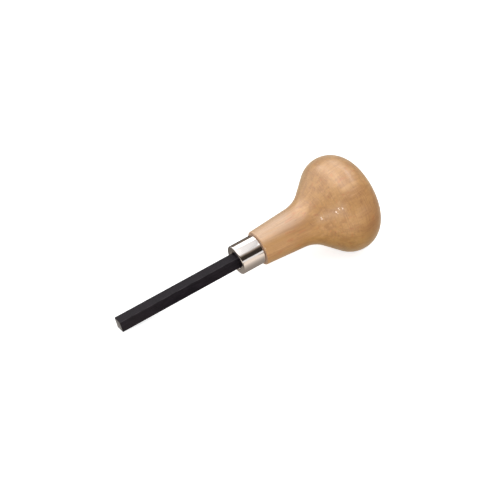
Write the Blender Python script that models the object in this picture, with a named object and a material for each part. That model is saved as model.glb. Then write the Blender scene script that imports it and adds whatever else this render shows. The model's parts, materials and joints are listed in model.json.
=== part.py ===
"""Prong pusher: a square steel bar driven into a turned palm handle, with a drawn cup ferrule.

Lengths are in metres and angles in degrees. Every piece is modelled along the tool's axis, which is
the local +X of an empty and runs from the working face of the bar to the crown of the handle. The
empty lays the tool down as it rests on a bench: on the lower edge of the bar's end and on the rim
of the head, with the middle of its footprint at the origin.
"""

import math

import bmesh
import bpy

# Square bar
BAR_SIDE = 0.005
BAR_REACH = 0.0568
BAR_EDGE_RADIUS = 0.00015
TANG_LENGTH = 0.034
TANG_TAPER_LENGTH = 0.022
TANG_END_SIDE = 0.0024

# Drawn cup ferrule
FERRULE_DIAMETER = 0.013
FERRULE_LENGTH = 0.0107
FERRULE_WALL = 0.0005
FERRULE_NOSE_RADIUS = 0.0005
FERRULE_LIP_RADIUS = 0.0006
FERRULE_LIP_DEPTH = 0.0014

# Turned handle
HANDLE_LENGTH = 0.0556
SHOULDER_STEP = 0.0012
SHOULDER_ROUND = 0.0005
SPIGOT_CHAMFER = 0.0005
NECK_TAPER = 4.1
COVE_RADIUS = 0.0151
FLANK_ANGLE = 41.9
RIM_RADIUS = 0.0115
HEAD_DIAMETER = 0.0434
DOME_RADIUS = 0.0354

# Fits
SEAT_GAP = 0.0003
CUT_OVERRUN = 0.002
NOSE_FILL = 0.9

# Facets
HANDLE_SEGMENTS = 64
FERRULE_SEGMENTS = 48
ARC_STEP = 6.0
SMALL_ARC_STEP = 18.0
EDGE_SEGMENTS = 2
SHARP_ANGLE = 30.0
MERGE_DISTANCE = 0.000001

# Finishes: colour, metallic, roughness
PALE_HARDWOOD = ((0.56, 0.35, 0.17, 1.0), 0.0, 0.35)
BRIGHT_NICKEL = ((0.72, 0.68, 0.62, 1.0), 1.0, 0.16)
BLACK_OXIDE_STEEL = ((0.035, 0.032, 0.034, 1.0), 0.6, 0.42)

# Sizes that follow from those above
bar_half = BAR_SIDE / 2
bar_corner = math.sqrt(2) * bar_half - (math.sqrt(2) - 1) * BAR_EDGE_RADIUS
ferrule_radius = FERRULE_DIAMETER / 2
hole_radius = bar_corner + SEAT_GAP
nose_width = ferrule_radius - hole_radius
nose_ease = min(1.0, NOSE_FILL * nose_width / (FERRULE_NOSE_RADIUS + FERRULE_LIP_RADIUS))
nose_radius = FERRULE_NOSE_RADIUS * nose_ease
lip_radius = FERRULE_LIP_RADIUS * nose_ease
lip_end = max(FERRULE_LIP_DEPTH, lip_radius, FERRULE_WALL)
ferrule_front = BAR_REACH
shoulder = ferrule_front + FERRULE_LENGTH + SEAT_GAP
shoulder_radius = ferrule_radius + SHOULDER_STEP
spigot_radius = ferrule_radius - FERRULE_WALL - SEAT_GAP
spigot_length = shoulder - ferrule_front - max(lip_end, nose_radius) - SEAT_GAP
tang_end = shoulder + TANG_LENGTH
tang_taper_start = tang_end - TANG_TAPER_LENGTH


def on_circle(centre, radius, degrees):
    turn = math.radians(degrees)
    return (centre[0] + radius * math.cos(turn), centre[1] + radius * math.sin(turn))


def arc(centre, radius, start, end, step):
    """Points on a circle from the angle start to the angle end, both included."""
    count = max(1, math.ceil(abs(end - start) / step))
    return [on_circle(centre, radius, start + (end - start) * i / count) for i in range(count + 1)]


def lines_meet(normal_a, offset_a, normal_b, offset_b):
    """The point whose distances along two unit normals are the two offsets."""
    turn = normal_a[0] * normal_b[1] - normal_a[1] * normal_b[0]
    return (
        (offset_a * normal_b[1] - offset_b * normal_a[1]) / turn,
        (normal_a[0] * offset_b - normal_b[0] * offset_a) / turn,
    )


def along(normal, point):
    return normal[0] * point[0] + normal[1] * point[1]


def handle_profile():
    """Half section of the handle from the spigot's end to the crown, as (along axis, radius).

    Neck and flank are straight, and a cove, the rim and the dome are arcs that run into them and
    into each other without a break. The axis is measured from the shoulder.
    """
    dome_centre = (HANDLE_LENGTH - DOME_RADIUS, 0.0)
    rim_out = HEAD_DIAMETER / 2 - RIM_RADIUS
    rim_centre = (dome_centre[0] + math.sqrt((DOME_RADIUS - RIM_RADIUS) ** 2 - rim_out**2), rim_out)
    dome_edge = math.degrees(math.atan2(rim_centre[1], rim_centre[0] - dome_centre[0]))
    neck_normal = on_circle((0.0, 0.0), 1.0, 90 + NECK_TAPER)
    flank_normal = on_circle((0.0, 0.0), 1.0, 90 + FLANK_ANGLE)
    neck_offset = along(neck_normal, (0.0, shoulder_radius))
    flank_offset = along(flank_normal, rim_centre) + RIM_RADIUS
    cove_centre = lines_meet(
        neck_normal, neck_offset + COVE_RADIUS, flank_normal, flank_offset + COVE_RADIUS
    )
    round_centre = lines_meet((1.0, 0.0), SHOULDER_ROUND, neck_normal, neck_offset - SHOULDER_ROUND)
    return [
        (-spigot_length, 0.0),
        (-spigot_length, spigot_radius - SPIGOT_CHAMFER),
        (SPIGOT_CHAMFER - spigot_length, spigot_radius),
        (0.0, spigot_radius),
        *arc(round_centre, SHOULDER_ROUND, 180, 90 + NECK_TAPER, SMALL_ARC_STEP),
        *arc(cove_centre, COVE_RADIUS, NECK_TAPER - 90, FLANK_ANGLE - 90, ARC_STEP),
        *arc(rim_centre, RIM_RADIUS, 90 + FLANK_ANGLE, dome_edge, ARC_STEP),
        *arc(dome_centre, DOME_RADIUS, dome_edge, 0, ARC_STEP)[1:],
    ]


def ferrule_profile():
    """Section of the cup's wall, measured from the front of its nose.

    The wall keeps one thickness from the open end, round the nose and into the hole, where the
    metal is turned inwards as a short lip round the bar.
    """
    inner_nose = max(nose_radius - FERRULE_WALL, 0.0)
    inner_lip = max(lip_radius - FERRULE_WALL, 0.0)
    outer_nose_centre = (nose_radius, ferrule_radius - nose_radius)
    outer_lip_centre = (lip_radius, hole_radius + lip_radius)
    inner_nose_centre = (FERRULE_WALL + inner_nose, ferrule_radius - FERRULE_WALL - inner_nose)
    inner_lip_centre = (FERRULE_WALL + inner_lip, hole_radius + FERRULE_WALL + inner_lip)
    return [
        (FERRULE_LENGTH, ferrule_radius),
        *arc(outer_nose_centre, nose_radius, 90, 180, SMALL_ARC_STEP),
        *arc(outer_lip_centre, lip_radius, 180, 270, SMALL_ARC_STEP),
        (lip_end, hole_radius),
        (lip_end, hole_radius + FERRULE_WALL),
        *arc(inner_lip_centre, inner_lip, 270, 180, SMALL_ARC_STEP),
        *arc(inner_nose_centre, inner_nose, 180, 90, SMALL_ARC_STEP),
        (FERRULE_LENGTH, ferrule_radius - FERRULE_WALL),
    ]


def finish(name, colour, metallic, roughness):
    material = bpy.data.materials.new(name)
    material.use_nodes = True
    shader = material.node_tree.nodes["Principled BSDF"]
    shader.inputs["Base Color"].default_value = colour
    shader.inputs["Metallic"].default_value = metallic
    shader.inputs["Roughness"].default_value = roughness
    material.diffuse_color = colour
    return material


def piece(name, shape, at, parent, material=None):
    """A named object whose origin is the distance at along the tool's axis."""
    mesh = bpy.data.meshes.new(name)
    bmesh.ops.recalc_face_normals(shape, faces=shape.faces)
    shape.to_mesh(mesh)
    shape.free()
    if material:
        mesh.materials.append(material)
    made = bpy.data.objects.new(name, mesh)
    made.parent = parent
    made.location = (at, 0.0, 0.0)
    bpy.context.scene.collection.objects.link(made)
    return made


def turned(profile, closed, segments):
    """The solid that a section makes when it is turned about the axis, starting underneath."""
    shape = bmesh.new()
    corners = [shape.verts.new((x, 0.0, -radius)) for x, radius in profile]
    edges = [shape.edges.new(pair) for pair in zip(corners, corners[1:])]
    if closed:
        edges.append(shape.edges.new((corners[-1], corners[0])))
    bmesh.ops.spin(
        shape,
        geom=corners + edges,
        cent=(0.0, 0.0, 0.0),
        axis=(1.0, 0.0, 0.0),
        angle=math.tau,
        steps=segments,
        use_merge=True,
    )
    bmesh.ops.remove_doubles(shape, verts=shape.verts, dist=MERGE_DISTANCE)
    return shape


def squared(stations):
    """A square bar through stations of (along axis, half side), closed by its first and last face."""
    shape = bmesh.new()
    start, half = stations[0]
    corners = [(start, half * y, half * z) for y, z in ((-1, -1), (-1, 1), (1, 1), (1, -1))]
    face = shape.faces.new([shape.verts.new(corner) for corner in corners])
    inner_faces = []
    for station, half_after in stations[1:]:
        grown = bmesh.ops.extrude_face_region(shape, geom=[face])["geom"]
        face = next(part for part in grown if isinstance(part, bmesh.types.BMFace))
        inner_faces.append(face)
        for corner in face.verts:
            corner.co = (station, corner.co.y * half_after / half, corner.co.z * half_after / half)
        half = half_after
    bmesh.ops.delete(shape, geom=inner_faces[:-1], context="FACES_ONLY")
    return shape


def sharp_edges(shape):
    shape.normal_update()
    return [edge for edge in shape.edges if edge.calc_face_angle() > math.radians(SHARP_ANGLE)]


def smooth(made):
    made.data.shade_smooth()
    made.data.set_sharp_from_angle(angle=math.radians(SHARP_ANGLE))


def laid_down(profile):
    """An empty that lays the tool on the lower edge of the bar's end and on the rim of the head."""
    section = [(shoulder + x, radius) for x, radius in profile]
    edge = (BAR_EDGE_RADIUS, bar_half)
    tilt = max(math.atan2(radius - edge[1], x - edge[0]) for x, radius in section)
    tip = (BAR_EDGE_RADIUS - bar_half) * math.sin(tilt)
    crown = max(x * math.cos(tilt) + radius * math.sin(tilt) for x, radius in section)
    lift = edge[1] * math.cos(tilt) - edge[0] * math.sin(tilt)
    axis = bpy.data.objects.new("tool_axis", None)
    axis.location = (-(tip + crown) / 2, 0.0, lift)
    axis.rotation_euler = (0.0, -tilt, 0.0)
    bpy.context.scene.collection.objects.link(axis)
    return axis


def make_bar(axis):
    shape = squared([(0.0, bar_half), (tang_taper_start, bar_half), (tang_end, TANG_END_SIDE / 2)])
    bmesh.ops.bevel(
        shape,
        geom=sharp_edges(shape),
        offset=BAR_EDGE_RADIUS,
        segments=EDGE_SEGMENTS,
        profile=0.5,
        affect="EDGES",
        clamp_overlap=True,
        material=-1,
    )
    return piece("square_bar", shape, 0.0, axis, finish("black_oxide_steel", *BLACK_OXIDE_STEEL))


def make_ferrule(axis):
    shape = turned(ferrule_profile(), True, FERRULE_SEGMENTS)
    made = piece("ferrule", shape, ferrule_front, axis, finish("bright_nickel", *BRIGHT_NICKEL))
    smooth(made)


def make_handle(axis, profile):
    shape = turned(profile, False, HANDLE_SEGMENTS)
    made = piece("palm_handle", shape, shoulder, axis, finish("pale_hardwood", *PALE_HARDWOOD))
    smooth(made)
    socket = squared(
        [
            (ferrule_front - CUT_OVERRUN, bar_half + SEAT_GAP),
            (tang_taper_start, bar_half + SEAT_GAP),
            (tang_end + SEAT_GAP, TANG_END_SIDE / 2 + SEAT_GAP),
        ]
    )
    cutter = piece("tang_socket_cutter", socket, 0.0, axis)
    cutter.hide_render = True
    cutter.display_type = "WIRE"
    cut = made.modifiers.new("tang_socket", "BOOLEAN")
    cut.operation = "DIFFERENCE"
    cut.object = cutter


for left_over in list(bpy.data.objects):
    bpy.data.objects.remove(left_over)
handle_section = handle_profile()
tool_axis = laid_down(handle_section)
make_bar(tool_axis)
make_ferrule(tool_axis)
make_handle(tool_axis, handle_section)
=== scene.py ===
"""The looks of a prong pusher: a turned palm handle, a plated ferrule and a black square bar."""

import json
import math

import bmesh
import bpy
from mathutils import Matrix, Vector

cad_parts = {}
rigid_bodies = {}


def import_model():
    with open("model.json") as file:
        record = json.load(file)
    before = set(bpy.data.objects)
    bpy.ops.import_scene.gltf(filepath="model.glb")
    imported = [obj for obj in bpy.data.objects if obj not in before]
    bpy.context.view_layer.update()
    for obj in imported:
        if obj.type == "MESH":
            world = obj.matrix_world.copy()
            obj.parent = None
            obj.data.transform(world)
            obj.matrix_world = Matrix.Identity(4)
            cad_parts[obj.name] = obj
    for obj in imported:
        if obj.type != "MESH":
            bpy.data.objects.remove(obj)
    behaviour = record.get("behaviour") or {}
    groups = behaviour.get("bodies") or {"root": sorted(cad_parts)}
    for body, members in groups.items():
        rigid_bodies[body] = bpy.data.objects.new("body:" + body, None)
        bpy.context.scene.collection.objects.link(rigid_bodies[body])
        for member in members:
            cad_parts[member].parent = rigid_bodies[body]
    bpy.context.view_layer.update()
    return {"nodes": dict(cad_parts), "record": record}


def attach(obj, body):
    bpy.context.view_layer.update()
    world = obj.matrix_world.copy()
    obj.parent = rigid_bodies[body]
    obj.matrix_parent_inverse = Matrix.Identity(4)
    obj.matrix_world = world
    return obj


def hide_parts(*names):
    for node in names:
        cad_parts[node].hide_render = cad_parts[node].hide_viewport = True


for left_over in list(bpy.data.objects):
    bpy.data.objects.remove(left_over)
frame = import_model()


# The turned handle
# One billet of pale beech, turned to a mushroom that fills the palm, sanded and dipped in clear
# lacquer. The ferrule sits on a spigot at its front, and the bar's tang is driven into its end grain.
bar_end = next(mount for mount in frame["record"]["mounts"] if mount["name"] == "working_face")
tool_x = -Vector(bar_end["axis"]).normalized()
tool_y = Vector((0, 1, 0))
tool_z = tool_x.cross(tool_y)
# Each piece is shaped along +X from the bar's end, with +Z up, and this then lays it on the tool's line.
lying = Matrix.Translation(bar_end["pos_m"]) @ Matrix((tool_x, tool_y, tool_z)).transposed().to_4x4()


def extent(node):
    """Where a solid starts and ends along the tool, and its largest radius."""
    standing = lying.inverted()
    points = [standing @ vertex.co for vertex in frame["nodes"][node].data.vertices]
    stations = [point.x for point in points]
    return min(stations), max(stations), max(point.yz.length for point in points)


spigot_front, crown, head_radius = extent("palm_handle")
ferrule_front, ferrule_rear, ferrule_radius = extent("ferrule")
SEAT_GAP = 0.0003
FERRULE_WALL = 0.0005
SHOULDER_STEP = 0.0012
SHOULDER_ROUND = 0.0005
NECK_TAPER = 4.1
COVE_RADIUS = 0.0151
FLANK_ANGLE = 41.9
RIM_RADIUS = 0.0115
DOME_RADIUS = 0.0354
SANDED = 0.00002
HANDLE_STEPS = 192
MERGED_WITHIN = 0.000001
SHARP_ANGLE = 30


def begin(x, radius):
    """A section to be turned, with its first point."""
    section = bmesh.new()
    return section, section.verts.new((x, 0, radius))


def run_to(section, point, x, radius):
    """A straight stretch of a section, from its last point."""
    grown = bmesh.ops.extrude_vert_indiv(section, verts=[point])["verts"][0]
    grown.co = (x, 0, radius)
    return grown


def round_off(section, point, centre, degrees, steps):
    """A round stretch of a section, about a centre. Positive turns from along the tool to outwards."""
    swept = bmesh.ops.spin(
        section,
        geom=[point],
        cent=(centre[0], 0, centre[1]),
        axis=(0, -1, 0),
        angle=math.radians(degrees),
        steps=steps,
    )
    return next(part for part in swept["geom_last"] if isinstance(part, bmesh.types.BMVert))


def turn(section, steps):
    """Turns a section round the axis of the tool."""
    bmesh.ops.spin(
        section,
        geom=section.verts[:] + section.edges[:],
        cent=(0, 0, 0),
        axis=(1, 0, 0),
        angle=math.tau,
        steps=steps,
        use_merge=True,
    )
    bmesh.ops.remove_doubles(section, verts=section.verts, dist=MERGED_WITHIN)


def lay_down(shape, name, node):
    """Makes a shape the piece that stands for a solid, lying where the solid lies."""
    bmesh.ops.transform(shape, matrix=lying, verts=shape.verts)
    bmesh.ops.recalc_face_normals(shape, faces=shape.faces)
    mesh = bpy.data.meshes.new(name)
    shape.to_mesh(mesh)
    shape.free()
    mesh.shade_smooth()
    mesh.set_sharp_from_angle(angle=math.radians(SHARP_ANGLE))
    piece = bpy.data.objects.new(name, mesh)
    bpy.context.scene.collection.objects.link(piece)
    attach(piece, "root")
    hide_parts(node)
    return piece


def direction(degrees):
    """A direction in the section, by its angle from along the tool to outwards."""
    return Vector((math.cos(math.radians(degrees)), math.sin(math.radians(degrees))))


def between(normal_a, offset_a, normal_b, offset_b):
    """The point at two given distances along two directions."""
    return Matrix((normal_a, normal_b)).inverted() @ Vector((offset_a, offset_b))


shoulder = ferrule_rear + SEAT_GAP
spigot_radius = ferrule_radius - FERRULE_WALL - SEAT_GAP
dome_centre = Vector((crown - SANDED - DOME_RADIUS, 0))
rim_out = head_radius - SANDED - RIM_RADIUS
rim_centre = dome_centre + Vector((math.sqrt((DOME_RADIUS - RIM_RADIUS) ** 2 - rim_out**2), rim_out))
dome_edge = math.degrees((rim_centre - dome_centre).angle_signed(Vector((1, 0))))
neck_normal = direction(90 + NECK_TAPER)
flank_normal = direction(90 + FLANK_ANGLE)
neck_offset = neck_normal.dot((shoulder, ferrule_radius + SHOULDER_STEP))
flank_offset = flank_normal.dot(rim_centre) + RIM_RADIUS
cove_centre = between(neck_normal, neck_offset + COVE_RADIUS, flank_normal, flank_offset + COVE_RADIUS)
round_centre = between(Vector((1, 0)), shoulder + SHOULDER_ROUND, neck_normal, neck_offset - SHOULDER_ROUND)
neck_end = cove_centre - COVE_RADIUS * neck_normal
flank_end = rim_centre + RIM_RADIUS * flank_normal

handle, point = begin(spigot_front, 0)
point = run_to(handle, point, spigot_front, spigot_radius)
point = run_to(handle, point, shoulder, spigot_radius)
point = run_to(handle, point, shoulder, round_centre.y)
point = round_off(handle, point, round_centre, NECK_TAPER - 90, steps=6)
point = run_to(handle, point, *neck_end)
point = round_off(handle, point, cove_centre, FLANK_ANGLE - NECK_TAPER, steps=20)
point = run_to(handle, point, *flank_end)
point = round_off(handle, point, rim_centre, dome_edge - 90 - FLANK_ANGLE, steps=60)
point = round_off(handle, point, dome_centre, -dome_edge, steps=24)
turn(handle, HANDLE_STEPS)
handle_piece = lay_down(handle, "turned_handle", "palm_handle")


def add(material, kind, inputs=None, **settings):
    """A node of a material, with sockets linked and values set."""
    node = material.node_tree.nodes.new(kind)
    for name, value in settings.items():
        setattr(node, name, value)
    for name, value in (inputs or {}).items():
        join(material, value, node.inputs[name])
    return node


def join(material, value, socket):
    """Links what makes a value to a socket, or sets the socket to a plain value."""
    if isinstance(value, bpy.types.NodeSocket):
        material.node_tree.links.new(value, socket)
    else:
        socket.default_value = value


def reckon(material, operation, *values):
    """A sum on one or more numbers."""
    return add(material, "ShaderNodeMath", dict(enumerate(values)), operation=operation).outputs[0]


def times(material, amount, *factors):
    """Numbers multiplied together."""
    for factor in factors:
        amount = reckon(material, "MULTIPLY", amount, factor)
    return amount


def plus(material, amount, *others):
    """Numbers added up."""
    for other in others:
        amount = reckon(material, "ADD", amount, other)
    return amount


def distance(material, first, second):
    """How far off something is that lies so far one way and so far square to it."""
    squares = [reckon(material, "POWER", side, 2.0) for side in (first, second)]
    return reckon(material, "SQRT", plus(material, *squares))


def spread(material, value, low, high, to_low=0.0, to_high=1.0):
    """A number carried smoothly from one range to another."""
    inputs = {"Value": value, "From Min": low, "From Max": high, "To Min": to_low, "To Max": to_high}
    return add(material, "ShaderNodeMapRange", inputs, interpolation_type="SMOOTHSTEP").outputs["Result"]


def tint(material, amount, first, second, blend="MIX"):
    """Two colours mixed by an amount."""
    node = add(material, "ShaderNodeMix", data_type="RGBA", blend_type=blend)
    for socket, value in zip((node.inputs[0], node.inputs[6], node.inputs[7]), (amount, first, second)):
        join(material, value, socket)
    return node.outputs[2]


def shift(material, operation, place, by):
    """A sum on two places or steps in space."""
    return add(material, "ShaderNodeVectorMath", {0: place, 1: by}, operation=operation).outputs[0]


def stretched(material, place, scale, location=(0, 0, 0)):
    """A place scaled along and across the tool, and then moved."""
    inputs = {"Vector": place, "Scale": scale, "Location": location}
    return add(material, "ShaderNodeMapping", inputs).outputs["Vector"]


def noise(material, place, per_mm, detail, roughness=0.5, start=(0, 0, 0), output="Fac"):
    """Noise of so many clouds to a millimetre, along the tool and both ways across it."""
    inputs = {
        "Vector": stretched(material, place, per_mm, start),
        "Scale": 1.0,
        "Detail": detail,
        "Roughness": roughness,
    }
    return add(material, "ShaderNodeTexNoise", inputs).outputs[output]


def parts_of(material, place):
    """The X, Y and Z of a place."""
    return add(material, "ShaderNodeSeparateXYZ", {"Vector": place}).outputs


def round_axis(material, place):
    """Along a line that runs with the tool, and the distance out from it and the way round it."""
    parts = parts_of(material, place)
    out = distance(material, parts["Y"], parts["Z"])
    return parts["X"], out, reckon(material, "ARCTAN2", parts["Z"], parts["Y"])


MILLIMETRE = 0.001


def new_finish(name):
    """A material, its shader, and millimetres along and across the tool, from the bar's end."""
    material = bpy.data.materials.new(name)
    material.use_nodes = True
    shader = material.node_tree.nodes["Principled BSDF"]
    laid = {
        "Vector": add(material, "ShaderNodeTexCoord").outputs["Object"],
        "Location": lying.translation,
        "Rotation": lying.to_euler(),
        "Scale": (MILLIMETRE, MILLIMETRE, MILLIMETRE),
    }
    place = add(material, "ShaderNodeMapping", laid, vector_type="TEXTURE").outputs["Vector"]
    return material, shader, place


def dress(material, shader, inputs):
    """Links or sets several sockets of a shader."""
    for name, value in inputs.items():
        join(material, value, shader.inputs[name])


PALE_WOOD = (0.680, 0.352, 0.104, 1)
GOLDEN_WOOD = (0.640, 0.314, 0.070, 1)
PAINTED_NECK_HIGHLIGHT = (0.70, 0.44, 0.245, 1)
PAINTED_UNDERSIDE_SHADE = (0.60, 0.305, 0.055, 1)
BLUSH = (0.71, 0.370, 0.128, 1)
RAW_SHOULDER = (0.56, 0.32, 0.195, 1)
GRAIN_AND_SHADE_TONE = (0.74, 0.60, 0.46, 1)
FLECK_SHADE = (0.62, 0.46, 0.34, 1)
ROSY_MARK = (1.0, 0.78, 0.66, 1)
LACQUER_SHEEN = (1.0, 0.84, 0.62, 1)
RING_WIDTH = 2.2
PITH = (0, 22.0, -38.0)
GRAIN_WANDERS = (0, 9, 9)
FLECK_SHADES = 9.0
PEEL_DEPTH = 3.4
HEAD_SETBACK = 4.0
head_start = neck_end.x / MILLIMETRE + HEAD_SETBACK
# Clouds or flecks to a millimetre, along the tool and both ways across it
WANDER_SCALE = (0.012, 0.03, 0.03)
FIBRE_SCALE = (0.05, 1.5, 1.5)
STREAK_SCALE = (0.022, 0.42, 0.42)
DRIFT_SCALE = (0.03, 0.06, 0.06)
BLUSH_SCALE = (0.10, 0.9, 0.9)
ROSY_SCALE = (0.22, 0.55, 0.55)
RAY_SCALE = (0.42, 0.35, 1.5)
PEEL_SCALE = (0.7, 0.7, 0.7)
PEEL_START = (9.1, 5.6, 1.4)
# How strongly each kind of mark shows, where 1 is its whole colour
PAINTED_NECK_HIGHLIGHT_STRENGTH = 0.9
PAINTED_UNDERSIDE_SHADE_STRENGTH = 0.6
RING_STRENGTH = 0.05
FIBRE_STRENGTH = 0.34
STREAK_STRENGTH = 0.5
FLECK_STRENGTH = 0.6
BLUSH_STRENGTH = 0.6
ROSY_STRENGTH = 0.7
NECK_TICK_STRENGTH = 0.1
HEAD_TICK_STRENGTH = 0.34
CROWN_GRAIN_AND_SHADE_STRENGTH = 0.6
END_GRAIN_STRENGTH = 0.15
RAW_STRENGTH = 0.9
LACQUER_STRENGTH = 0.36

# The grain runs through the whole billet, a little bent, round a pith outside the handle.
wood, wood_shader, wood_place = new_finish("lacquered_beech")
wander = noise(wood, wood_place, WANDER_SCALE, 2.0, output="Color")
wander = shift(wood, "MULTIPLY", shift(wood, "SUBTRACT", wander, (0.5, 0.5, 0.5)), GRAIN_WANDERS)
bent = shift(wood, "ADD", wood_place, wander)
with_pith, from_pith, round_pith = round_axis(wood, shift(wood, "SUBTRACT", bent, PITH))
ring = reckon(wood, "FRACT", reckon(wood, "DIVIDE", from_pith, RING_WIDTH))
late_wood = times(wood, spread(wood, ring, 0.45, 0.94), spread(wood, ring, 1.0, 0.95))
fibres = noise(wood, bent, FIBRE_SCALE, 4.0, 0.6)
streaks = noise(wood, bent, STREAK_SCALE, 2.0)
drift = noise(wood, bent, DRIFT_SCALE, 1.0)
blush = noise(wood, bent, BLUSH_SCALE, 2.0)
rosy = noise(wood, bent, ROSY_SCALE, 1.0)
ray_parts = {"X": with_pith, "Y": from_pith, "Z": times(wood, round_pith, from_pith)}
ray_place = add(wood, "ShaderNodeCombineXYZ", ray_parts).outputs[0]
ray_place = stretched(wood, ray_place, RAY_SCALE)
rays = add(wood, "ShaderNodeTexVoronoi", {"Vector": ray_place, "Scale": 1.0}).outputs
ray_shade = reckon(wood, "FRACT", times(wood, rays["Color"], FLECK_SHADES))
fleck = times(wood, spread(wood, rays["Distance"], 0.34, 0.10), ray_shade)

# Other marks follow the turning: how far along and round the tool a place is, and which way it faces.
along, out, round_tool = round_axis(wood, wood_place)
above_axis = times(wood, reckon(wood, "SINE", round_tool), out)
normal = add(wood, "ShaderNodeNewGeometry").outputs["Normal"]
facing = add(wood, "ShaderNodeVectorMath", {0: normal, 1: tool_x}, operation="DOT_PRODUCT")
facing = facing.outputs["Value"]


def turned_noise(per_mm, per_radian, detail):
    """Noise of so many to a millimetre along and outwards, and so many to a radian round the tool."""
    parts = {
        "X": times(wood, along, per_mm),
        "Y": times(wood, reckon(wood, "COSINE", round_tool), per_radian),
        "Z": times(wood, reckon(wood, "SINE", round_tool), per_radian),
    }
    place = add(wood, "ShaderNodeCombineXYZ", parts).outputs[0]
    inputs = {"Vector": place, "W": times(wood, out, per_mm), "Scale": 1.0, "Detail": detail}
    return add(wood, "ShaderNodeTexNoise", inputs, noise_dimensions="4D").outputs["Fac"]


# Painted highlight: the top of the neck is made paler, standing in for the white sheen of its lacquer.
painted_neck_highlight = spread(wood, along, head_start, head_start - 9.0, 0.0, PAINTED_NECK_HIGHLIGHT_STRENGTH)
painted_neck_highlight = times(wood, painted_neck_highlight, spread(wood, above_axis, 3.5, 8.5))
# Painted shade: the underside is made darker and more golden, where the lacquer shows no bright sheen.
painted_underside_shade = spread(wood, above_axis, 3.0, -11.0, 0.0, PAINTED_UNDERSIDE_SHADE_STRENGTH)
tick_strength = (NECK_TICK_STRENGTH, HEAD_TICK_STRENGTH)
on_head = spread(wood, along, head_start - 3.0, head_start + 6.0, *tick_strength)
on_head = times(wood, on_head, spread(wood, above_axis, -9.0, 3.0, 0.35, 1.0))
ticks = times(wood, spread(wood, turned_noise(1.9, 5.0, 2.0), 0.48, 0.68), on_head)
# Darker towards the crown: partly its end grain, and partly painted shade on the head's side, kept off the
# top and weaker underneath.
crown_grain_and_shade = spread(wood, facing, -0.35, 0.25, 0.0, CROWN_GRAIN_AND_SHADE_STRENGTH)
crown_grain_and_shade = times(wood, crown_grain_and_shade, spread(wood, above_axis, 14.0, 4.0))
crown_grain_and_shade = times(wood, crown_grain_and_shade, spread(wood, above_axis, -18.0, -6.0, 0.35, 1.0))
end_grain = spread(wood, reckon(wood, "ABSOLUTE", facing), 0.75, 1.0, 0.0, END_GRAIN_STRENGTH)
raw = spread(wood, facing, -0.85, -0.98)

wood_colour = tint(wood, spread(wood, drift, 0.35, 0.65), PALE_WOOD, GOLDEN_WOOD)
# Painted highlight on the top of the neck.
wood_colour = tint(wood, painted_neck_highlight, wood_colour, PAINTED_NECK_HIGHLIGHT)
# Painted shade on the underside.
wood_colour = tint(wood, painted_underside_shade, wood_colour, PAINTED_UNDERSIDE_SHADE)
for amount, shade in (
    (times(wood, late_wood, RING_STRENGTH), GRAIN_AND_SHADE_TONE),
    (spread(wood, fibres, 0.35, 0.75, 0.0, FIBRE_STRENGTH), GRAIN_AND_SHADE_TONE),
    (spread(wood, streaks, 0.42, 0.62, 0.0, STREAK_STRENGTH), GRAIN_AND_SHADE_TONE),
    (times(wood, fleck, FLECK_STRENGTH), FLECK_SHADE),
):
    wood_colour = tint(wood, amount, wood_colour, shade, "MULTIPLY")
wood_colour = tint(wood, spread(wood, blush, 0.5, 0.75, 0.0, BLUSH_STRENGTH), wood_colour, BLUSH)
# The crown's darkening in this list is partly end grain and partly painted shade.
for amount, shade in (
    (spread(wood, rosy, 0.63, 0.71, 0.0, ROSY_STRENGTH), ROSY_MARK),
    (ticks, FLECK_SHADE),
    (crown_grain_and_shade, GRAIN_AND_SHADE_TONE),
    (end_grain, GRAIN_AND_SHADE_TONE),
):
    wood_colour = tint(wood, amount, wood_colour, shade, "MULTIPLY")
wood_colour = tint(wood, times(wood, raw, RAW_STRENGTH), wood_colour, RAW_SHOULDER)

# The lacquer is a film that follows the turning and has a slight peel. The raw shoulder has none.
peel = noise(wood, wood_place, PEEL_SCALE, 1.0, start=PEEL_START)
film = plus(wood, turned_noise(0.55, 2.0, 1.0), times(wood, peel, PEEL_DEPTH))
film_bump = add(wood, "ShaderNodeBump", {"Height": film, "Strength": 1.0, "Distance": 0.00003})
fibre_bump = add(wood, "ShaderNodeBump", {"Height": fibres, "Strength": 1.0, "Distance": 0.00002})
dress(wood, wood_shader, {
    "Base Color": wood_colour,
    "Roughness": spread(wood, fibres, 0.3, 0.7, 0.40, 0.50),
    "Normal": fibre_bump.outputs["Normal"],
    "Specular IOR Level": 1.0,
    "IOR": 1.55,
    "Sheen Weight": 1.0,
    "Sheen Roughness": 0.36,
    "Sheen Tint": LACQUER_SHEEN,
    "Coat Weight": spread(wood, raw, 0.0, 1.0, LACQUER_STRENGTH, 0.0),
    "Coat Roughness": 0.10,
    "Coat Normal": film_bump.outputs["Normal"],
})
handle_piece.data.materials.append(wood)


# The ferrule
# A drawn steel cup, nickel plated and tumbled bright, pressed on the spigot so that the wood can't
# split. Its closed end is rounded, and the edge of its hole is turned inwards round the bar.
BAR_SIDE = 0.005
BAR_EDGE_RADIUS = 0.00015
NOSE_RADIUS = 0.0005
LIP_RADIUS = 0.0006
LIP_DEPTH = 0.0014
REAR_EDGE = 0.00012
FERRULE_STEPS = 128
bar_half = BAR_SIDE / 2
hole_radius = math.sqrt(2) * bar_half - (math.sqrt(2) - 1) * BAR_EDGE_RADIUS + SEAT_GAP

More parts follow.
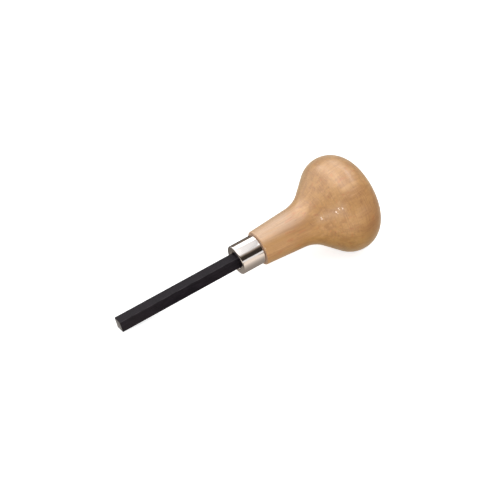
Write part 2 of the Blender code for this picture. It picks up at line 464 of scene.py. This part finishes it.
nose_centre = (ferrule_front + NOSE_RADIUS, ferrule_radius - NOSE_RADIUS)
lip_centre = (ferrule_front + LIP_RADIUS, hole_radius + LIP_RADIUS)
edge_centre = (ferrule_rear - REAR_EDGE, ferrule_radius - REAR_EDGE)
ferrule, rear_point = begin(ferrule_rear, edge_centre[1])
point = round_off(ferrule, rear_point, edge_centre, 90, steps=4)
point = run_to(ferrule, point, nose_centre[0], ferrule_radius)
point = round_off(ferrule, point, nose_centre, 90, steps=16)
point = run_to(ferrule, point, ferrule_front, lip_centre[1])
point = round_off(ferrule, point, lip_centre, 90, steps=14)
point = run_to(ferrule, point, ferrule_front + LIP_DEPTH, hole_radius)
point = run_to(ferrule, point, ferrule_front + LIP_DEPTH, hole_radius + FERRULE_WALL)
point = run_to(ferrule, point, lip_centre[0], hole_radius + FERRULE_WALL)
point = round_off(ferrule, point, lip_centre, -90, steps=6)
point = run_to(ferrule, point, ferrule_front + FERRULE_WALL, ferrule_radius - FERRULE_WALL)
point = run_to(ferrule, point, ferrule_rear, ferrule_radius - FERRULE_WALL)
ferrule.edges.new((point, rear_point))
turn(ferrule, FERRULE_STEPS)
ferrule_piece = lay_down(ferrule, "cup_ferrule", "ferrule")

# Drawing leaves the cup not quite true along its length, and tumbling leaves fine marks round it.
NICKEL = (0.84, 0.79, 0.76, 1)
TUMBLED_SCALE = (9.0, 0.35, 0.35)
DRAWN_SCALE = (0.22, 0.10, 0.10)
nickel, nickel_shader, nickel_place = new_finish("bright_nickel")
tumbled = noise(nickel, nickel_place, TUMBLED_SCALE, 3.0)
drawn = noise(nickel, nickel_place, DRAWN_SCALE, 1.0)
drawn_bump = add(nickel, "ShaderNodeBump", {"Height": drawn, "Strength": 1.0, "Distance": 0.0001})
tumbled_bump = add(nickel, "ShaderNodeBump", {
    "Height": tumbled,
    "Strength": 0.25,
    "Distance": 0.000004,
    "Normal": drawn_bump.outputs["Normal"],
})
dress(nickel, nickel_shader, {
    "Base Color": NICKEL,
    "Metallic": 1.0,
    "Roughness": spread(nickel, tumbled, 0.3, 0.7, 0.07, 0.11),
    "Normal": tumbled_bump.outputs["Normal"],
})
ferrule_piece.data.materials.append(nickel)


# The square bar
# Cold drawn square steel with a black oxide skin, lighter along its edges, partly from wear and partly
# as a painted highlight. One end is ground flat and bare for pushing, and the other tapers to a tang
# inside the handle.
_, tang_end, _ = extent("square_bar")
TANG_TAPER_LENGTH = 0.022
TANG_END_SIDE = 0.0024
EDGE_ANGLE = 0.5
END_FACING = -0.7

bar = bmesh.new()
bmesh.ops.create_circle(bar, cap_ends=True, segments=4, radius=bar_half * math.sqrt(2))
bmesh.ops.rotate(bar, verts=bar.verts, matrix=Matrix.Rotation(math.pi / 4, 3, "Z"))
bmesh.ops.rotate(bar, verts=bar.verts, matrix=Matrix.Rotation(math.pi / 2, 3, "Y"))
end_face = bar.faces[:][0]
sections = []
for station, share in ((tang_end - TANG_TAPER_LENGTH, 1), (tang_end, TANG_END_SIDE / BAR_SIDE)):
    grown = bmesh.ops.extrude_face_region(bar, geom=[end_face])["geom"]
    end_face = next(part for part in grown if isinstance(part, bmesh.types.BMFace))
    sections.append(end_face)
    for corner in end_face.verts:
        corner.co = (station, corner.co.y * share, corner.co.z * share)
bmesh.ops.delete(bar, geom=sections[:-1], context="FACES_ONLY")
bmesh.ops.recalc_face_normals(bar, faces=bar.faces)
bmesh.ops.bevel(
    bar,
    geom=[edge for edge in bar.edges if edge.calc_face_angle() > EDGE_ANGLE],
    offset=BAR_EDGE_RADIUS,
    segments=4,
    profile=0.5,
    affect="EDGES",
    material=-1,
)
bar.normal_update()
for face in bar.faces:
    face.material_index = int(face.normal.x < END_FACING)
bar_piece = lay_down(bar, "black_bar", "square_bar")

OXIDE = (0.0100, 0.0080, 0.0108, 1)
RUBBED = (0.0290, 0.0215, 0.0290, 1)
WORN_AND_HIGHLIT_EDGE = (0.070, 0.062, 0.066, 1)
ROLLED_SCALE = (0.25, 1.2, 1.2)
SPECKLE_SCALE = (2.4, 2.4, 2.4)
WEAR_AND_HIGHLIGHT_STARTS = 2.3
WEAR_AND_HIGHLIGHT_FULL = 2.46
oxide, oxide_shader, oxide_place = new_finish("black_oxide")
rolled = noise(oxide, oxide_place, ROLLED_SCALE, 4.0)
speckle = noise(oxide, oxide_place, SPECKLE_SCALE, 2.0, 0.6)
oxide_colour = tint(oxide, spread(oxide, rolled, 0.35, 0.75, 0.0, 0.6), OXIDE, RUBBED)
oxide_colour = tint(oxide, spread(oxide, speckle, 0.48, 0.72, 0.0, 0.7), oxide_colour, RUBBED)
bar_parts = parts_of(oxide, oxide_place)
to_sides = [reckon(oxide, "ABSOLUTE", bar_parts[side]) for side in ("Y", "Z")]
# The edges are lighter, partly from wear and partly as a painted highlight on the arrises.
worn_and_highlit = spread(oxide, rolled, 0.35, 0.6, 0.2, 0.9)
worn_and_highlit = times(oxide, worn_and_highlit, *[spread(oxide, to_side, WEAR_AND_HIGHLIGHT_STARTS, WEAR_AND_HIGHLIGHT_FULL) for to_side in to_sides])
oxide_bump = add(oxide, "ShaderNodeBump", {"Height": speckle, "Strength": 0.3, "Distance": 0.00002})
dress(oxide, oxide_shader, {
    "Base Color": tint(oxide, worn_and_highlit, oxide_colour, WORN_AND_HIGHLIT_EDGE),
    "Roughness": spread(oxide, rolled, 0.3, 0.7, 0.46, 0.58),
    "Normal": oxide_bump.outputs["Normal"],
    "Specular IOR Level": 0.12,
})
bar_piece.data.materials.append(oxide)

# Grinding leaves fine lines on the end, and some of the oxide at its upper near corner.
GROUND = (0.084, 0.093, 0.110, 1)
GROUND_LINE = (0.058, 0.064, 0.076, 1)
LINE_SCALE = (1.0, 0.4, 9.0)
SKIN_CENTRE = 0.3
SKIN_STARTS = 1.95
SKIN_FULL = 2.3
ground, ground_shader, ground_place = new_finish("ground_steel")
lines = noise(ground, ground_place, LINE_SCALE, 3.0)
ground_colour = tint(ground, spread(ground, lines, 0.3, 0.7, 0.0, 0.4), GROUND, GROUND_LINE)
end_parts = parts_of(ground, ground_place)
upwards = reckon(ground, "MAXIMUM", reckon(ground, "SUBTRACT", end_parts["Z"], SKIN_CENTRE), 0.0)
nearer = reckon(ground, "MAXIMUM", reckon(ground, "SUBTRACT", -SKIN_CENTRE, end_parts["Y"]), 0.0)
to_corner = plus(ground, distance(ground, upwards, nearer), spread(ground, lines, 0.3, 0.7, -0.12, 0.12))
skin = spread(ground, to_corner, SKIN_STARTS, SKIN_FULL)
dress(ground, ground_shader, {
    "Base Color": tint(ground, skin, ground_colour, OXIDE),
    "Metallic": spread(ground, skin, 0.0, 1.0, 1.0, 0.0),
    "Roughness": spread(ground, lines, 0.3, 0.7, 0.28, 0.42),
    "Specular IOR Level": 0.14,
})
bar_piece.data.materials.append(ground)


# The floor
# A sheet of white paper that the tool lies on. It takes the tool's shadow. To the lens and to shiny
# surfaces it also glows, a little more further out, so that it is as white as what is round it.
FLOOR_SIZE = 4.0
WHITE = (1, 1, 1, 1)
PAPER = (0.8, 0.8, 0.8, 1)
floor_shape = bmesh.new()
bmesh.ops.create_grid(floor_shape, x_segments=1, y_segments=1, size=FLOOR_SIZE)
floor_mesh = bpy.data.meshes.new("floor")
floor_shape.to_mesh(floor_mesh)
floor_shape.free()
floor = bpy.data.objects.new("floor", floor_mesh)
bpy.context.scene.collection.objects.link(floor)


def seen(material):
    """One for rays that the lens, a shiny surface or glass sends out, and none for the rest."""
    path = add(material, "ShaderNodeLightPath").outputs
    seen_ray = reckon(material, "MAXIMUM", path["Is Camera Ray"], path["Is Glossy Ray"])
    return reckon(material, "MAXIMUM", seen_ray, path["Is Transmission Ray"])


paper = bpy.data.materials.new("white_paper")
paper.use_nodes = True
paper_place = add(paper, "ShaderNodeTexCoord").outputs["Object"]
from_tool = add(paper, "ShaderNodeVectorMath", {0: paper_place}, operation="LENGTH").outputs["Value"]
dress(paper, paper.node_tree.nodes["Principled BSDF"], {
    "Base Color": PAPER,
    "Roughness": 0.9,
    "Specular IOR Level": 0.0,
    "Emission Color": WHITE,
    "Emission Strength": times(paper, spread(paper, from_tool, 0.12, 0.6, 0.72, 0.8), seen(paper)),
})
floor_mesh.materials.append(paper)


# The studio
# Two soft boxes and a white room light the tool, and a small lamp low on the left only makes glints.
# A round wall, a ceiling and a card on the floor are seen by shiny surfaces alone: their pale and dark
# stretches are what the ferrule, the lacquer and the oxide mirror.
AMBIENT = 0.83
room = bpy.data.worlds.new("studio")
bpy.context.scene.world = room
room.use_nodes = True
room_light = plus(room, times(room, seen(room), 1 - AMBIENT), AMBIENT)
dress(room, room.node_tree.nodes["Background"], {"Color": WHITE, "Strength": room_light})
middle = Vector((0, 0, 0.02))


def toward(azimuth, elevation, distance_out):
    """A place seen from the tool. Azimuth 0 is in front, on the -Y side, and 90 is on the +X side."""
    flat = math.cos(math.radians(elevation))
    turned_by = math.radians(azimuth)
    rise = math.sin(math.radians(elevation))
    return Vector((math.sin(turned_by) * flat, -math.cos(turned_by) * flat, rise)) * distance_out


def lamp(name, away, width, tall, brightness, glints=False):
    """A soft box that faces the tool. Its brightness is what its face has to the eye, where 1 is white."""
    light = bpy.data.lights.new(name, "AREA")
    light.shape = "ELLIPSE"
    light.size = width
    light.size_y = tall
    light.energy = brightness * math.pi * (math.pi / 4 * width * tall)
    made = bpy.data.objects.new(name, light)
    made.location = middle + away
    made.rotation_euler = away.to_track_quat("Z", "Y").to_euler()
    made.visible_camera = False
    made.visible_glossy = glints
    made.visible_diffuse = not glints
    bpy.context.scene.collection.objects.link(made)


lamp("overhead_box", toward(10, 68, 0.7), width=0.5, tall=0.5, brightness=0.6)
lamp("front_box", toward(-25, 28, 0.8), width=0.5, tall=0.4, brightness=0.9)
lamp("low_lamp", toward(-53.5, 2.0, 0.6), width=0.05, tall=0.045, brightness=90.0, glints=True)

WALL_DISTANCE = 0.8
WALL_TOP = 54.0
ROUND_STEPS = 64
CARD_LIFT = 0.0004
BLACK = (0, 0, 0, 1)
BROWN_CLOTH = (1, 0.80, 0.64, 1)
CREAM_CARD = (1, 0.89, 0.78, 1)


def wall_height(elevation):
    """How high on the wall something is that the tool sees at an elevation."""
    return middle.z + WALL_DISTANCE * math.tan(math.radians(elevation))


def stand(shape, name):
    """A part of the studio that only shiny surfaces see, its material, and places on it."""
    mesh = bpy.data.meshes.new(name)
    shape.to_mesh(mesh)
    shape.free()
    made = bpy.data.objects.new(name, mesh)
    made.visible_camera = False
    made.visible_diffuse = False
    made.visible_shadow = False
    made.visible_transmission = False
    bpy.context.scene.collection.objects.link(made)
    cloth = bpy.data.materials.new(name)
    cloth.use_nodes = True
    mesh.materials.append(cloth)
    return cloth, parts_of(cloth, add(cloth, "ShaderNodeTexCoord").outputs["Object"])


def disc(name, height):
    """A level round card, standing at a height."""
    shape = bmesh.new()
    bmesh.ops.create_circle(shape, cap_ends=True, segments=ROUND_STEPS, radius=WALL_DISTANCE)
    bmesh.ops.translate(shape, verts=shape.verts, vec=(0, 0, height))
    return stand(shape, name)


def bearing_of(cloth, spot):
    """The bearing of a place in radians. 0 is in front, on the -Y side, and more is towards +X."""
    return reckon(cloth, "ARCTAN2", spot["X"], times(cloth, spot["Y"], -1.0))


def light_up(cloth, grey, colour):
    """Makes a card as bright as its grey says."""
    dress(cloth, cloth.node_tree.nodes["Principled BSDF"], {
        "Base Color": BLACK,
        "Specular IOR Level": 0.0,
        "Emission Color": colour,
        "Emission Strength": grey,
    })


wall_shape = bmesh.new()
wall_foot = wall_shape.verts.new((WALL_DISTANCE, 0, 0))
wall_edge = bmesh.ops.extrude_vert_indiv(wall_shape, verts=[wall_foot])["verts"][0]
wall_edge.co.z = wall_height(WALL_TOP)
bmesh.ops.spin(
    wall_shape,
    geom=wall_shape.verts[:] + wall_shape.edges[:],
    cent=(0, 0, 0),
    axis=(0, 0, 1),
    angle=math.tau,
    steps=ROUND_STEPS,
    use_merge=True,
)
wall, wall_spot = stand(wall_shape, "dark_wall")
wall_bearing = bearing_of(wall, wall_spot)


def by_elevation(low, high, to_low=0.0, to_high=1.0):
    """A number carried up the wall, between two elevations that the tool sees."""
    return spread(wall, wall_spot["Z"], wall_height(low), wall_height(high), to_low, to_high)


def by_bearing(low, high, to_low=0.0, to_high=1.0):
    """A number carried round the wall, between two bearings."""
    return spread(wall, wall_bearing, low, high, to_low, to_high)


# How bright each stretch of the wall is, where 1 is white, and how many times that its hot corner is
DARK_CLOTH = 0.04
UPPER_REAR = 0.85
UPPER_FRONT = 1.0
LEFT_SIDE = 0.8
LEFT_REAR = 2.4
RIGHT_SIDE = 0.03
LOW_FRONT = 0.9
HOT_CORNER = 2.5
at_rear = spread(wall, wall_spot["Y"], -0.2, 0.1)
at_front = reckon(wall, "SUBTRACT", 1.0, at_rear)
hot_corner = times(wall, by_bearing(2.2, 2.45), by_bearing(3.05, 2.8, 1.0, HOT_CORNER))
upper_rear = by_elevation(27.0, 36.0, DARK_CLOTH, UPPER_REAR)
upper_rear = times(wall, upper_rear, reckon(wall, "MAXIMUM", at_rear, hot_corner))
upper_front = times(wall, by_elevation(32.0, 59.0, DARK_CLOTH, UPPER_FRONT), at_front)
left_side = times(wall, by_bearing(-1.2, -1.8, 0.0, LEFT_SIDE), by_bearing(-3.12, -2.85))
left_rear = times(wall, by_bearing(-2.65, -2.85), by_bearing(-3.13, -3.0))
left_rear = times(wall, left_rear, by_elevation(22.0, 32.0, 0.0, LEFT_REAR))
right_side = spread(wall, wall_spot["X"], 0.4, 0.75, 0.0, RIGHT_SIDE)
low_front = times(wall, by_bearing(0.9, 0.6), by_bearing(-0.4, -0.1, 0.0, LOW_FRONT))
low_front = times(wall, low_front, by_elevation(10.5, 8.5))
low_rear = times(wall, spread(wall, wall_spot["Y"], 0.3, 0.6), by_elevation(22.0, 13.0, 0.06, 0.12))
wall_grey = plus(wall, upper_rear, upper_front, left_side, left_rear, right_side, low_front, low_rear)
light_up(wall, wall_grey, tint(wall, spread(wall, wall_grey, 0.2, 0.8), BROWN_CLOTH, WHITE))

# How bright the ceiling is on the bar's side and on the head's, and what is added further right,
# at the right edge and over the wall's hot corner
OVER_BAR = 2.8
OVER_HEAD = 1.05
RIGHT_DIP = -0.35
RIGHT_EDGE = 4.5
HOT_SPOT = 2.5
ceiling, ceiling_spot = disc("pale_ceiling", wall_height(WALL_TOP))
ceiling_bearing = bearing_of(ceiling, ceiling_spot)
from_centre = distance(ceiling, ceiling_spot["X"], ceiling_spot["Y"])
hot_spot = spread(ceiling, from_centre, 0.45, 0.7, 0.0, HOT_SPOT)
hot_spot = times(ceiling, hot_spot, spread(ceiling, ceiling_bearing, 2.2, 2.45))
hot_spot = times(ceiling, hot_spot, spread(ceiling, ceiling_bearing, 3.05, 2.8))
overhead = spread(ceiling, ceiling_spot["X"], -0.15, 0.16, OVER_BAR, OVER_HEAD)
right_dip = spread(ceiling, ceiling_spot["X"], 0.22, 0.42, 0.0, RIGHT_DIP)
right_edge = spread(ceiling, ceiling_spot["X"], 0.36, 0.70, 0.0, RIGHT_EDGE)
ceiling_grey = plus(ceiling, hot_spot, overhead, right_dip, right_edge)
light_up(ceiling, ceiling_grey, WHITE)

# The card shows the shade of the tool to its own shiny parts: behind the ferrule, below the head,
# in front of the bar and under the tool.
REAR_SLANT = -0.53
FRONT_SLANT = 0.37
card, card_spot = disc("grey_sweep", CARD_LIFT)
front_edge, rear_edge = [(lying @ Vector((x, 0, ferrule_radius))).x for x in (ferrule_front, ferrule_rear)]
abreast = reckon(card, "MULTIPLY_ADD", card_spot["Y"], REAR_SLANT, card_spot["X"])
past_ferrule = spread(card, abreast, rear_edge + 0.001, rear_edge + 0.006)
before_ferrule = spread(card, abreast, front_edge - 0.004, front_edge - 0.010, 0.0, 0.55)
beside_ferrule = reckon(card, "MAXIMUM", past_ferrule, before_ferrule)
behind = spread(card, card_spot["Y"], 0.004, 0.032, 1.0, 0.2)
nearby = spread(card, card_spot["Y"], -0.25, -0.15)
to_right = reckon(card, "MULTIPLY_ADD", card_spot["Y"], FRONT_SLANT, card_spot["X"])
below_head = times(card, spread(card, to_right, 0.014, 0.030, 0.0, 0.95), nearby)
front_left = spread(card, to_right, -0.010, -0.022, 0.0, 0.75)
front_left = times(card, front_left, spread(card, to_right, -0.060, -0.035), nearby)
under = spread(card, card_spot["Y"], -0.04, -0.004)
under = times(card, under, spread(card, card_spot["X"], -0.05, -0.03, 0.0, 0.7))
card_grey = times(
    card,
    reckon(card, "MAXIMUM", behind, beside_ferrule),
    reckon(card, "SUBTRACT", 1.0, plus(card, below_head, front_left)),
    reckon(card, "SUBTRACT", 1.0, under),
)
light_up(card, card_grey, CREAM_CARD)


# The camera
# It stands in front on the bar's side, above the tool, and is tipped a little to the left.
CAMERA_AIM = Vector((0.00078, -0.0027, 0.01666))
CAMERA_AZIMUTH = -27.774
CAMERA_ELEVATION = 30.304
CAMERA_DISTANCE = 0.74586
CAMERA_ROLL = -5.075
FOCAL_PIXELS = 1800
PICTURE_PIXELS = 500
SENSOR_WIDTH = 36
camera = bpy.data.cameras.new("camera")
camera.sensor_width = SENSOR_WIDTH
camera.lens = SENSOR_WIDTH * FOCAL_PIXELS / PICTURE_PIXELS
lens = bpy.data.objects.new("camera", camera)
outward = toward(CAMERA_AZIMUTH, CAMERA_ELEVATION, 1)
lens.location = CAMERA_AIM + outward * CAMERA_DISTANCE
level = outward.to_track_quat("Z", "Y").to_matrix()
lens.rotation_euler = (level @ Matrix.Rotation(math.radians(CAMERA_ROLL), 3, "Z")).to_euler()
bpy.context.scene.collection.objects.link(lens)
bpy.context.scene.camera = lens
bpy.context.scene.view_settings.view_transform = "Standard"
